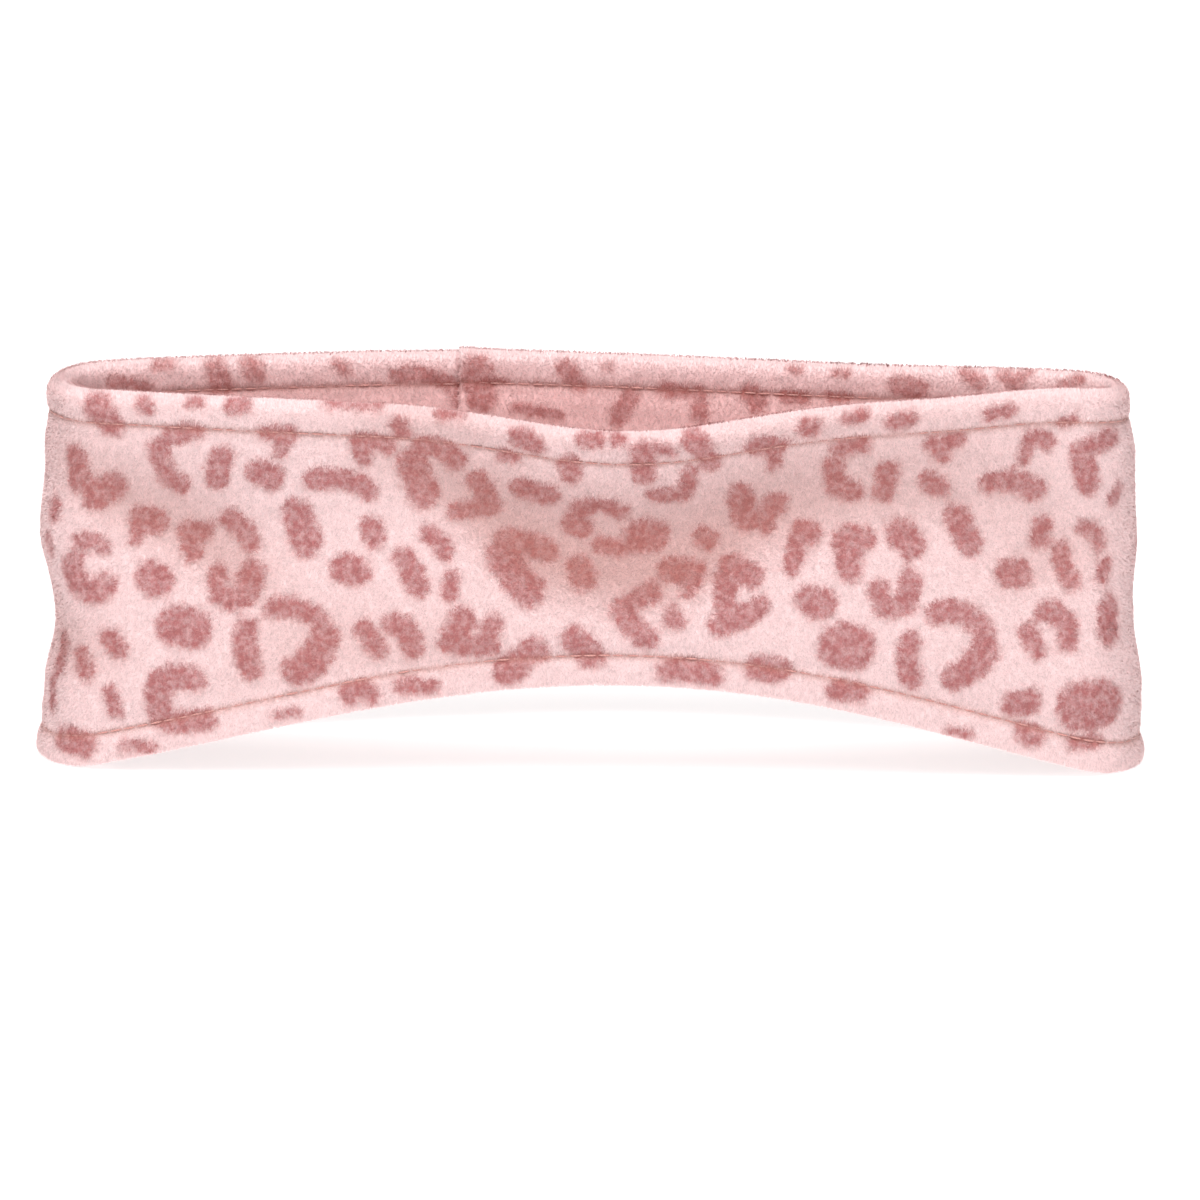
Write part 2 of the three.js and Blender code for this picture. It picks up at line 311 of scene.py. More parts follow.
spotColumns = ("along", "up", "long", "wide", "turn", "bend")
spots = [
    (-104, 78, 4.5, 5.5, -55),
    (-95, 80.5, 1.5, 2.5, -25),
    (-84.5, 81.5, 2.5, 1.5, 0),
    (-75, 81.5, 2.5, 3, 10),
    (-50.5, 82.5, 11, 2, -5),
    (-30, 81, 4, 2.5, 5),
    (0, 76, 3.5, 3, 0),
    (5.5, 76, 1, 2.5, 0),
    (46, 78.5, 1.5, 3.5, -10),
    (55.5, 80.5, 4, 2, 15),
    (65.5, 79.5, 3.5, 3, 5),
    (87, 80.5, 4, 2.5, 5),
    (102.5, 78, 2.5, 2, 25),
    (-111, 65.5, 5.5, 5, -85),
    (-105, 61, 5, 6, 35),
    (-117, 56, 2.5, 3, -80),
    (-118.5, 48, 2.5, 2, -75),
    (-87, 75, 4.5, 4, 15),
    (-91.5, 67, 9.5, 4.5, -65, 60),
    (-79.5, 67.5, 5, 5, 75),
    (-69.5, 66.5, 2, 6, -30),
    (-95.5, 55, 3.5, 5, -10),
    (-98, 52, 2, 3, 80),
    (-85.5, 53, 4, 4, 5),
    (-86, 49.5, 2, 4, -85),
    (-75, 54, 6.5, 4.5, -50, -50),
    (-107.5, 50, 5, 3.5, -10, -60),
    (-111, 44.5, 4, 3, -90),
    (-109.5, 40, 11.5, 5, -30, 150),
    (-93.5, 42.5, 2.5, 6, -25),
    (-79.5, 42, 4.5, 4, -75),
    (-73, 42.5, 4.5, 5.5, 70),
    (-76.5, 39, 3, 3.5, 0),
    (-86.5, 33, 3.5, 8.5, -5),
    (-102, 28.5, 3.5, 4, -45),
    (-115.5, 24.5, 5, 4, -85),
    (-108.5, 23.5, 4, 3, -65),
    (-116.5, 15.5, 5.5, 2.5, -85),
    (-102, 16, 4, 3, -70),
    (-87, 22.5, 6, 5, 0, -50),
    (-92, 17, 7, 5.5, -85, 30),
    (-86.5, 12.5, 9.5, 4.5, 5, 20),
    (-110, 6.5, 3, 5.5, -5),
    (-96.5, 6.5, 5.5, 2.5, 0),
    (-73, 29, 8, 5, -80, 25),
    (-61, 37.5, 13.5, 4, -20, -75),
    (-58.5, 27.5, 8.5, 6.5, 50, 50),
    (-46.5, 32, 5, 4, -50),
    (-38.5, 34, 7.5, 4.5, -50, -100),
    (-48.5, 21, 4, 4.5, 0, -60),
    (-36.5, 22.5, 6.5, 3, 0, -10),
    (-64, 15.5, 4.5, 1.5, 10),
    (-62, 55, 6.5, 6.5, -70),
    (-66.5, 76, 4.5, 3.5, 0),
    (-66, 73.5, 2, 3.5, -80),
    (-49, 73, 4, 3.5, -75),
    (-45, 74.5, 4, 3.5, -20, -60),
    (-40.5, 77.5, 2, 3.5, -80),
    (-53, 66, 12, 4.5, -10, -50),
    (-37, 66.5, 7, 6.5, -70),
    (-32, 73, 8, 4.5, -25, -60),
    (-46.5, 54.5, 2.5, 4.5, -65),
    (-51, 46.5, 2.5, 6, -15),
    (-38, 46.5, 6.5, 4.5, -60),
    (-32.5, 53, 5.5, 3.5, -45, -40),
    (-29.5, 44, 2.5, 3.5, 80),
    (-22.5, 63.5, 6, 4.5, -65, -35),
    (-26, 59.5, 6, 3.5, 5),
    (-12, 64, 6, 4.5, -10),
    (-17.5, 72, 2.5, 2.5, -20),
    (-13.5, 76, 4.5, 3.5, -25, -60),
    (-4.5, 69.5, 2, 4.5, -75),
    (-14, 52.5, 9.5, 4.5, -10, -45),
    (-16.5, 46.5, 10, 6, -50, 25),
    (-28, 34.5, 5, 5.5, 65),
    (-25, 31.5, 7.5, 4.5, 0),
    (-21.5, 34, 5, 4, 65),
    (-14.5, 28.5, 8, 5.5, 40),
    (-1.5, 31.5, 5, 5.5, -45),
    (-2, 46.5, 2.5, 5, -65),
    (-3, 56.5, 1.5, 5, -20),
    (2, 61, 10, 3, -5, -50),
    (12, 54.5, 3.5, 6, -10),
    (7, 51.5, 10.5, 3, 0, 35),
    (11, 71, 5, 5, -85),
    (14.5, 74, 4, 2.5, -5),
    (16, 63.5, 5.5, 3, 0),
    (20.5, 66, 4.5, 3.5, 70, 30),
    (23.5, 74, 6, 4.5, -55, -30),
    (37, 74.5, 4.5, 4.5, 0),
    (38.5, 71, 1.5, 3, -85),
    (32.5, 60.5, 5, 5.5, -80),
    (38.5, 60, 3, 5, 40),
    (35.5, 57, 4, 4, -5),
    (24.5, 53.5, 1, 4, -30),
    (19.5, 47, 5.5, 4.5, -5),
    (20.5, 45, 2, 4, -60),
    (10.5, 41.5, 6, 4, 25, 10),
    (9, 36, 8, 4.5, -45, 30),
    (17.5, 38, 1, 4, -60),
    (32, 47.5, 5, 4.5, -15, -50),
    (28.5, 41, 8, 4.5, -90),
    (31.5, 38, 9, 4.5, 25, 25),
    (21, 27, 10, 4.5, -5, -35),
    (37.5, 27, 4.5, 5.5, -5),
    (46, 55, 2, 4.5, -20),
    (43.5, 51, 5.5, 3.5, 70),
    (47.5, 41.5, 4, 5, -5),
    (48.5, 39.5, 2.5, 3.5, 0),
    (54, 31.5, 2.5, 9.5, -10),
    (54.5, 22, 5, 4, -5, -20),
    (55, 74, 5, 3.5, 10),
    (52, 67.5, 4, 4.5, -75),
    (54.5, 64, 3.5, 4, -15),
    (63, 66, 5, 4.5, 80),
    (73.5, 65, 3.5, 4, -35),
    (75.5, 74.5, 6, 3, 5),
    (74.5, 72.5, 2, 3.5, -80),
    (54.5, 50.5, 6, 5, -80),
    (57, 54, 3.5, 4.5, -5, -30),
    (67.5, 53.5, 3.5, 6, -45, -30),
    (80, 55, 6.5, 5.5, -65),
    (91, 65, 10.5, 4.5, -10, -50),
    (93.5, 72.5, 4.5, 3, 75),
    (97, 74.5, 4, 3, -25, -60),
    (106.5, 67.5, 7.5, 5, -75, 20),
    (110, 73, 6.5, 4, 15, -10),
    (115, 61, 2.5, 3, 50),
    (97.5, 53.5, 3, 4.5, 85),
    (109.5, 53, 5.5, 3.5, -45, -60),
    (91, 45, 2.5, 6, -5),
    (102.5, 46, 6.5, 4, -75, 25),
    (111.5, 44.5, 2.5, 3.5, 65),
    (111.5, 34, 5.5, 5, 85, -20),
    (101.5, 35, 9, 4.5, -50, -105),
    (94.5, 31, 4, 4, -60),
    (79.5, 37.5, 12.5, 4.5, -25, -85),
    (81, 26.5, 8, 6, 40, 25),
    (61.5, 41.5, 3.5, 4.5, -70),
    (67.5, 43, 4, 4.5, 75),
    (64.5, 39.5, 4, 4.5, 0),
    (67, 28, 8, 4.5, -85, 50),
    (78.5, 12, 4, 2, -15),
    (92, 18, 3, 5.5, 5),
    (94, 11, 2, 4.5, -30),
    (106.5, 16.5, 3, 10.5, -5),
    (106, 8.5, 4, 3, 0),
]


def strokePoints(spot, steps=7):
    # points along the middle of a stroke, which is an arc, and half its width
    row = dict(zip(spotColumns, spot))
    bend = math.radians(row.get("bend", 0))
    turn = math.radians(row["turn"])
    length = row["long"] * mm
    points = []
    for i in range(steps):
        part = i / (steps - 1) - 0.5
        if abs(bend) < 0.05:
            step = (length * part * math.cos(turn), length * part * math.sin(turn))
        else:
            radius = length / bend
            step = (
                radius * (math.sin(turn + bend * part) - math.sin(turn)),
                radius * (math.cos(turn) - math.cos(turn + bend * part)),
            )
        points.append((row["along"] * mm + step[0], row["up"] * mm + step[1]))
    return points, row["wide"] * mm / 2 + printRepeat["swell"]


def fieldNoise(points, size, seed):
    shift = Vector((seed * 17.3, seed * 5.1, seed * 9.7))
    return np.array([noise.noise(Vector(p) / size + shift) for p in points])


def printAt(along, up, chart, repeat):
    # 0 on the ground colour and 1 on a spot
    nearest = np.full(along.shape, 1.0)
    for spot in chart:
        points, radius = strokePoints(spot)
        gap = along - points[len(points) // 2][0]
        shifted = along - repeat * np.round(gap / repeat) if repeat else along
        reach = radius + spot[2] * mm / 2 + 2 * mm
        close = (np.abs(shifted - spot[0] * mm) < reach) & (np.abs(up - spot[1] * mm) < reach)
        u = shifted[close]
        v = up[close]
        best = np.full(u.shape, 1.0)
        for (ax, ay), (bx, by) in zip(points, points[1:]):
            dx = bx - ax
            dy = by - ay
            t = np.clip(((u - ax) * dx + (v - ay) * dy) / max(dx * dx + dy * dy, 1e-12), 0, 1)
            best = np.minimum(best, np.hypot(u - ax - t * dx, v - ay - t * dy) - radius)
        nearest[close] = np.minimum(nearest[close], best)
    points = np.stack([along, up, np.zeros_like(along)], 1)
    wobble = fieldNoise(points, printRepeat["wobbleSize"], 3) * printRepeat["wobble"]
    share = np.clip(0.5 - (nearest + wobble) / (2 * printRepeat["edge"]), 0, 1)
    return share * share * (3 - 2 * share)


wallScale = 60 * mm  # a typical height of the wall, to weigh shares of it against lengths
curveSteps = 12  # between two rows of a section


def smoothRows(rows, count):
    # the section's rows joined by a smooth curve, and points spaced evenly along it
    rows = np.array(rows)
    steps = np.diff(rows, axis=0) * [wallScale, 1, 1]
    knots = np.concatenate([[0], np.cumsum(np.hypot(steps[:, 0] + steps[:, 1], steps[:, 2]) ** 0.5)])
    slopes = np.gradient(rows, knots, axis=0)
    fine = []
    for i in range(len(rows) - 1):
        h = knots[i + 1] - knots[i]
        for t in np.linspace(0, 1, curveSteps, endpoint=False):
            start = (2 * t**3 - 3 * t**2 + 1) * rows[i] + (t**3 - 2 * t**2 + t) * h * slopes[i]
            end = (3 * t**2 - 2 * t**3) * rows[i + 1] + (t**3 - t**2) * h * slopes[i + 1]
            fine.append(start + end)
    fine = np.array(fine + [rows[-1]])
    moves = np.diff(fine, axis=0)
    travel = np.hypot(moves[:, 0] * wallScale + moves[:, 1], moves[:, 2])
    travel = np.concatenate([[0], np.cumsum(travel)])
    upright = fine[:, 0] * wallScale + fine[:, 1]
    fromStitch = np.minimum(
        np.abs(upright - cloth["stitchMargin"]), np.abs(upright - wallScale + cloth["stitchMargin"])
    )
    dense = 1 + cloth["finerAtStitch"] * bell(fromStitch, cloth["finerReach"])
    weight = np.concatenate([[0], np.cumsum(np.diff(travel) * (dense[1:] + dense[:-1]) / 2)])
    even = np.linspace(0, weight[-1], count)
    return np.stack([np.interp(even, weight, fine[:, k]) for k in range(3)], 1)


bodyFullness = {
    "share": [0.035, 0.08, 0.14, 0.26, 0.38, 0.5, 0.62, 0.74, 0.86, 0.92, 0.965],
    "full": [0.86, 0.98, 1, 1, 1, 1, 1, 1, 1, 0.98, 0.86],
}


def sectionOf(thick):
    # shown face of a layer from the hem's seam to the rim's: share of the way up, beyond that, and out
    margin = cloth["stitchMargin"]
    roll = [(i * margin, o * cloth["edgeBulk"]) for o, i in zip(edgeRoll["out"], edgeRoll["inwards"])]
    rows = [(0, up, out) for up, out in roll[1:]]
    rows.append((0, margin, cloth["stitchPinch"]))
    for share, full in zip(bodyFullness["share"], bodyFullness["full"]):
        rows.append((share, (1 - 2 * share) * margin, thick * full))
    rows.append((1, -margin, cloth["stitchPinch"]))
    rows += [(1, -up, out) for up, out in reversed(roll[1:])]
    return smoothRows(rows, cloth["rows"])


surface = {
    "groove": 0.32 * mm,  # the stitching draws a narrow groove this much deeper
    "grooveWidth": 0.7 * mm,
    "gather": 0.4 * mm,  # small gathers beside the stitching
    "gatherSize": 6 * mm,
    "gatherLength": 0.25,  # share by which they are drawn out across the stitching
    "gatherReach": 5 * mm,
    "lump": 0.35 * mm,  # soft unevenness of the cloth
    "lumpSize": 10 * mm,
    "nub": 0.2 * mm,  # and of its pile
    "nubSize": 2.6 * mm,
    "stitchShade": 1.0,  # share of painted shade in the groove beside the stitching
    "stitchShadeWidth": 0.62 * mm,
}


def placeCloth(along, up, out, thick, side):
    # points of the cloth, out from the gap between the layers; side is 1 outside and -1 inside
    rim = rimAt(along)
    hem = hemAt(along)
    gap = roundTo(along, seamAlong)
    bulk = -backSeam["crease"] * np.exp(-np.abs(gap) / backSeam["creaseWidth"])
    if side < 0:
        bulk = np.where(gap < 0, backSeam["lap"] * lapAt(along), bulk)
    x, y, outX, outY = ovalAt(along)
    away = swayAt(along, (up - hem) / (rim - hem)) - foldAt(along, up)
    away = away + side * (cloth["layerGap"] / 2 + out + bulk * np.minimum(1, out / thick))
    points = np.stack(np.broadcast_arrays(x + outX * away, y + outY * away, np.maximum(up, 0)), -1)
    return points + setDown


def columnPlaces():
    # places round the loop from seam to seam, closer together beside the seam
    fine = np.linspace(0, loopLength, cloth["seamSteps"])
    dense = 1 + cloth["finerAtSeam"] * bell(roundTo(fine, 0), 4 * backSeam["creaseWidth"])
    weight = np.concatenate([[0], np.cumsum((dense[1:] + dense[:-1]) / 2)])
    even = np.linspace(0, weight[-1], cloth["columns"], endpoint=False)
    return seamAlong - loopLength + np.interp(even, weight, fine)


def plainFace(thick, side):
    # the grid of the shown face, before the small unevenness
    along = columnPlaces()[:, None]
    share, beyond, out = [column[None, :] for column in sectionOf(thick).T]
    up = hemAt(along) + share * (rimAt(along) - hemAt(along)) + beyond
    return along, up, out, placeCloth(along, up, out, thick, side)


def shownFace(thick, side, seed):
    along, up, out, plain = plainFace(thick, side)
    fromHem = up - hemAt(along) - cloth["stitchMargin"]
    fromRim = rimAt(along) - cloth["stitchMargin"] - up
    fromStitch = np.minimum(np.abs(fromHem), np.abs(fromRim))
    flat = plain.reshape(-1, 3)
    lumps = fieldNoise(flat, surface["lumpSize"], seed).reshape(up.shape) * surface["lump"]
    nubs = fieldNoise(flat, surface["nubSize"], seed + 1).reshape(up.shape) * surface["nub"]
    drawn = np.broadcast_arrays(along, up * surface["gatherLength"], 0 * up)
    places = np.stack(drawn, -1).reshape(-1, 3)
    gathers = fieldNoise(places, surface["gatherSize"], seed + 2).reshape(up.shape) * surface["gather"]
    gathers = gathers * np.exp(-fromStitch / surface["gatherReach"])
    groove = surface["groove"] * bell(fromStitch, surface["grooveWidth"])
    uneven = (lumps + nubs + gathers - groove) * np.minimum(1, out / (0.5 * thick))
    points = placeCloth(along, up, out + uneven, thick, side)
    # the cloth goes on over the rolled edges, so the print is placed by the way along its surface there
    travel = np.cumsum(np.linalg.norm(np.diff(plain, axis=1, prepend=plain[:, :1]), axis=2), axis=1)
    place = up.copy()
    for fromEdge, beyondEdge in ((fromHem, -1), (fromRim, 1)):
        row = np.argmin(np.abs(fromEdge), axis=1)[:, None]
        further = (travel - np.take_along_axis(travel, row, 1)) * beyondEdge
        rolled = np.take_along_axis(up, row, 1) + beyondEdge * further
        place = np.where(further > 0, rolled, place)
    return points, np.broadcast_to(along, up.shape), place, fromStitch


def makeObject(name, vertices, faces, attributes):
    mesh = bpy.data.meshes.new(name)
    mesh.from_pydata(vertices.reshape(-1, 3).tolist(), [], faces)
    for attributeName, values in attributes.items():
        kind, field = ("FLOAT_VECTOR", "vector") if np.ndim(values) == 3 else ("FLOAT", "value")
        layer = mesh.attributes.new(attributeName, kind, "POINT")
        layer.data.foreach_set(field, np.ascontiguousarray(values, dtype=np.float32).ravel())
    mesh.shade_smooth()
    made = bpy.data.objects.new(name, mesh)
    bpy.context.scene.collection.objects.link(made)
    return made


def gridFaces(columns, rows, roundLoop, roundSection, side):
    faces = []
    for i in range(columns if roundLoop else columns - 1):
        j = (i + 1) % columns
        for k in range(rows if roundSection else rows - 1):
            up = (k + 1) % rows
            quad = [i * rows + k, j * rows + k, j * rows + up, i * rows + up]
            faces.append(quad if side > 0 else quad[::-1])
    return faces


hiddenShares = np.array([1, 0.82, 0.62, 0.42, 0.22, 0])  # rows of the face against the other layer


def makeLayer(name, thick, side, points, marks):
    along = plainFace(thick, side)[0]
    hem = hemAt(along)
    inwards = (1 - 2 * hiddenShares) * edgeRoll["inwards"][0] * cloth["stitchMargin"]
    up = hem + hiddenShares * (rimAt(along) - hem) + inwards
    hidden = placeCloth(along, up, 0 * up, thick, side)
    whole = np.concatenate([points, hidden], axis=1)
    marks = {key: np.concatenate([mark, 0 * up], axis=1) for key, mark in marks.items()}
    faces = gridFaces(whole.shape[0], whole.shape[1], True, True, side)
    return makeObject(name, whole, faces, marks)


# The CAD sets the loop over the origin once it is made, so the same small shift is worked out here
setDown = np.zeros(3)
outerPlain = plainFace(cloth["outerThick"], 1)[3].reshape(-1, 3)
cadLow, cadHigh = [np.array(corner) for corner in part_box("outer_layer")]
setDown = (cadLow + cadHigh) / 2 - (outerPlain.min(0) + outerPlain.max(0)) / 2
setDown[2] = 0
print("set down by", [round(float(v) / mm, 3) for v in setDown])

outerFace = shownFace(cloth["outerThick"], 1, 1)
liningFace = shownFace(cloth["liningThick"], -1, 5)


def spotsOn(face, chart, repeat):
    return printAt(face[1].ravel(), face[2].ravel(), chart, repeat).reshape(face[1].shape)


outerSpots = spotsOn(outerFace, spots, printRepeat["width"])
fleece = {
    "ground": "#f8dddd",
    "spot": "#bf7b7b",
    # the lining's spots are the same dye as outside, painted lighter: painted light on the shaded
    # inside
    "insideSpotLightened": "#c78c8a",
    "insideShadeTone": "#fdecea",  # painted shade: down inside the loop the pink deepens, as light meets the cloth twice
    "insideShadeReach": 4 * mm,
    "dyeUneven": 0.42,  # the printed dye reaches some fibres less by this share
    "dyeGrain": 1.7 * mm,
    "dyeRange": (0.35, 0.6),  # span of the grain over which it does
    "dyeRagged": 0.7,  # and by which the grain frays the spots' edges
    "edgeRange": (0.32, 1.25),
    "clumped": 0.08,  # tufts of fibres stand darker by this share
    "clumpSize": 1.5 * mm,
    "clumpRange": (0.35, 0.65),
    "creaseShadeTone": "#b67568",  # painted shade in the folds and in the grooves of the stitching
    "creaseShadeShare": 0.5,
    "pileRootShade": 0.84,  # painted shade: the roots of the pile are this share as bright as its tips
    "pileUneven": 0.16,
    "sheen": 0.3,
    "sheenTint": "#f0bdb7",
    "sheenRoughness": 0.5,
    "roughness": 0.9,
    "shine": 0.1,
}

# The lining is cut from another place of the same cloth. Its upper edge is charted as well, in
# millimetres to the right of the middle of the back and up.
liningShift = {"along": 96 * mm, "up": -18 * mm}
# low rows of the chart, used once more to fill the lining between the two charts
liningFill = {"along": 31 * mm, "up": 57 * mm, "lowest": 2, "highest": 11}
liningEdge = {"repeat": loopLength / 2, "besideSeam": 20 * mm}
liningEdgeSpots = [
    (-102, 78.5, 7, 3, -10),
    (-94, 82.5, 3, 2.5, 0),
    (-82, 79.5, 3.5, 5, -75),
    (-74.5, 81, 2, 4, -60),
    (-55, 81, 3, 2, -30),
    (-37, 79.5, 12, 3, -10, -50),
    (-30, 75, 4, 1.5, -90),
    (-25, 77.5, 6, 6.5, -80, 20),
    (-20.5, 78, 2, 1.5, -10),
    (-12, 71, 10, 2, -10),
    (-4.5, 79, 4, 4, -45),
    (3.5, 81, 1.5, 1, 0),
    (7, 72, 6, 3.5, 60),
    (18.5, 76, 5, 3, -5),
    (23.5, 73, 5, 3.5, -85),
    (35.5, 74.5, 3, 4, -65),
    (44.5, 75, 3.5, 3, 0),
    (44.5, 81, 2.5, 1.5, -10),
    (54, 75.5, 2.5, 2.5, 0),
    (54.5, 80.5, 2, 1.5, 0),
    (69.5, 78, 4.5, 4, -15),
    (83.5, 80.5, 4, 2.5, -30),
    (92, 80.5, 4, 3, -40),
    (95, 82, 2, 2, 30),
    (105.5, 80.5, 5.5, 2, 25),
]
liningAlong = liningFace[1].ravel()
liningUp = liningFace[2].ravel()


def edgeSpotsOn(chart):
    return printAt(loopLength / 2 - liningAlong, liningUp, chart, liningEdge["repeat"])


# the seam cuts through the spots beside it, so each side of it shows only its own
seamAcross = -backSeam["place"] / mm
edgeSpots = edgeSpotsOn(liningEdgeSpots)
nearOnRight = liningAlong > seamAlong - liningEdge["besideSeam"]
nearOnLeft = liningAlong < seamAlong - loopLength + liningEdge["besideSeam"]
onRight = [spot for spot in liningEdgeSpots if spot[0] > seamAcross]
onLeft = [spot for spot in liningEdgeSpots if spot[0] < seamAcross]
edgeSpots = np.where(nearOnRight, edgeSpotsOn(onRight), edgeSpots)
edgeSpots = np.where(nearOnLeft, edgeSpotsOn(onLeft), edgeSpots)


def shiftedPrint(shift, chart):
    return printAt(shift["along"] - liningAlong, liningUp - shift["up"], chart, printRepeat["width"])


fillSpots = [spot for spot in spots if liningFill["lowest"] <= spot[1] <= liningFill["highest"]]
liningSpots = np.maximum(shiftedPrint(liningShift, spots), shiftedPrint(liningFill, fillSpots))
liningSpots = np.maximum(liningSpots, edgeSpots).reshape(liningFace[1].shape)


def paintedCreaseShadeOn(face):
    # painted shade down in the folds
    inFolds = sum(foldShare(fold, face[1], face[2]) * fold["depth"] for fold in folds) / foldDeepest
    return np.maximum(np.clip(inFolds, 0, 1), paintedStitchShade(face))


def paintedStitchShade(face):
    # and painted shade beside the stitching
    return surface["stitchShade"] * bell(face[3], surface["stitchShadeWidth"])


def edgeGap(points):
    # how far each point of a face lies from the seam on the crest of the nearer edge
    lengths = np.linalg.norm(np.diff(points, axis=1), axis=2)
    reached = np.concatenate([np.zeros((points.shape[0], 1)), np.cumsum(lengths, axis=1)], axis=1)
    return np.minimum(reached, reached[:, -1:] - reached)


def napOn(points):
    # the pile is stroked down, and over each crest it leans across the seam
    across = np.gradient(points, axis=1)
    across /= np.linalg.norm(across, axis=2, keepdims=True)
    toEdge = np.where(np.arange(points.shape[1]) < points.shape[1] / 2, -1, 1)[None, :, None]
    leaning = bell(edgeGap(points), pile["napReach"])[..., None]
    return (1 - leaning) * np.array(pile["nap"]) + leaning * pile["napAtEdge"] * toEdge * across


foldDeepest = max(fold["depth"] for fold in folds)
outerCreaseShade = paintedCreaseShadeOn(outerFace)
outerMarks = {"print": outerSpots, "paintedCreaseShade": outerCreaseShade, "paintedInsideShade": 0 * outerSpots}
# painted shade inside the loop, fading out near the lining's edges
liningInsideShade = 1 - bell(edgeGap(liningFace[0]), fleece["insideShadeReach"])
liningMarks = {"print": liningSpots, "paintedCreaseShade": paintedStitchShade(liningFace), "paintedInsideShade": liningInsideShade}
outerLayer = makeLayer("outer_cloth", cloth["outerThick"], 1, outerFace[0], outerMarks)
liningLayer = makeLayer("lining_cloth", cloth["liningThick"], -1, liningFace[0], liningMarks)
print("layers made")


def addNode(tree, kind, settings=None, links=None):
    node = tree.nodes.new(kind)
    for name, value in (settings or {}).items():
        if isinstance(name, str) and hasattr(node, name):
            setattr(node, name, value)
        else:
            node.inputs[name].default_value = value
    for name, source in (links or {}).items():
        tree.links.new(source, node.inputs[name])
    return node


def linearColour(hexValue):
    parts = [int(hexValue[i : i + 2], 16) / 255 for i in (1, 3, 5)]
    return [c / 12.92 if c <= 0.04045 else ((c + 0.055) / 1.055) ** 2.4 for c in parts] + [1]


def addMath(tree, operation, first, second):
    # each of the two is a number or another node's output
    node = addNode(tree, "ShaderNodeMath", {"operation": operation})
    for place, value in enumerate((first, second)):
        if isinstance(value, (int, float)):
            node.inputs[place].default_value = value
        else:
            tree.links.new(value, node.inputs[place])
    return node.outputs[0]


def addRange(tree, value, given, wanted, kind="LINEAR"):
    settings = {
        "interpolation_type": kind,
        "From Min": given[0],
        "From Max": given[1],
        "To Min": wanted[0],
        "To Max": wanted[1],
    }
    return addNode(tree, "ShaderNodeMapRange", settings, {"Value": value}).outputs["Result"]


def addMix(tree, settings, links):
    # sockets of the colour mix: 0 share, 6 first colour, 7 second colour
    return addNode(tree, "ShaderNodeMix", {"data_type": "RGBA", **settings}, links).outputs[2]


def addNoise(tree, places, size, detail, roughness):
    settings = {"Scale": 1 / size, "Detail": detail, "Roughness": roughness}
    return addNode(tree, "ShaderNodeTexNoise", settings, {"Vector": places}).outputs[0]


def markOf(tree, name):
    return addNode(tree, "ShaderNodeAttribute", {"attribute_name": name}).outputs["Fac"]


def newMaterial(name, values):
    material = bpy.data.materials.new(name)
    material.use_nodes = True
    shader = material.node_tree.nodes["Principled BSDF"]
    for key, value in values.items():
        shader.inputs[key].default_value = value
    return material, material.node_tree, shader


def brushedFleece(name, isPile, printed):
    # brushed polyester fleece: matt, soft, a pale sheen where the fibre ends catch the light
    values = {
        "Roughness": fleece["roughness"],
        "Sheen Weight": fleece["sheen"],
        "Sheen Roughness": fleece["sheenRoughness"],
        "Sheen Tint": linearColour(fleece["sheenTint"]),
        "Specular IOR Level": fleece["shine"],
    }
    material, tree, shader = newMaterial(name, values)
    places = addNode(tree, "ShaderNodeTexCoord").outputs["Object"]
    # dye, uneven by the grain of the pile
    grain = addNoise(tree, places, fleece["dyeGrain"], 3.0, 0.75)
    taken = addRange(tree, grain, fleece["dyeRange"], (1 - fleece["dyeUneven"], 1.0))
    frayed = addMath(tree, "MULTIPLY", grain, fleece["dyeRagged"])
    reached = addMath(tree, "ADD", frayed, markOf(tree, "print"))
    edged = addRange(tree, reached, fleece["edgeRange"], (0, 1), "SMOOTHSTEP")
    share = addMath(tree, "MULTIPLY", edged, taken)
    dyed = addMix(tree, {6: linearColour(fleece["ground"]), 7: linearColour(printed)}, {0: share})
    # painted shade: the darker tone in the folds and beside the stitching, and the deeper pink inside
    # the loop
    paintedCreaseShade = addMath(tree, "MULTIPLY", markOf(tree, "paintedCreaseShade"), fleece["creaseShadeShare"])
    creaseShaded = addMix(tree, {7: linearColour(fleece["creaseShadeTone"])}, {0: paintedCreaseShade, 6: dyed})
    multiply = {"blend_type": "MULTIPLY"}
    insideShadeTone = linearColour(fleece["insideShadeTone"])
    inside = addMix(tree, {**multiply, 7: insideShadeTone}, {0: markOf(tree, "paintedInsideShade"), 6: creaseShaded})
    tufts = addNoise(tree, places, fleece["clumpSize"], 2.0, 0.6)
    tufted = addRange(tree, tufts, fleece["clumpRange"], (1 - fleece["clumped"], 1.0))
    colour = addMix(tree, {**multiply, 0: 1.0}, {6: inside, 7: tufted})
    if isPile:
        uneven = (1 - fleece["pileUneven"], 1 + fleece["pileUneven"])
        # painted shade at the roots of the fibres
        paintedRootShade = addRange(tree, markOf(tree, "tip"), (0, 1), (fleece["pileRootShade"], 1.0))
        tinted = addRange(tree, markOf(tree, "tint"), (0, 1), uneven)
        bright = addMath(tree, "MULTIPLY", paintedRootShade, tinted)
        colour = addMix(tree, {**multiply, 0: 1.0}, {6: colour, 7: bright})
    tree.links.new(colour, shader.inputs["Base Color"])
    return material


pileOf = {
    1: brushedFleece("brushed_fleece_pile", True, fleece["spot"]),
    -1: brushedFleece("brushed_fleece_inside_pile", True, fleece["insideSpotLightened"]),
}
outerBacking = brushedFleece("brushed_fleece_backing", False, fleece["spot"])
liningBacking = brushedFleece("brushed_fleece_inside_backing", False, fleece["insideSpotLightened"])
outerLayer.data.materials.append(outerBacking)
liningLayer.data.materials.append(liningBacking)

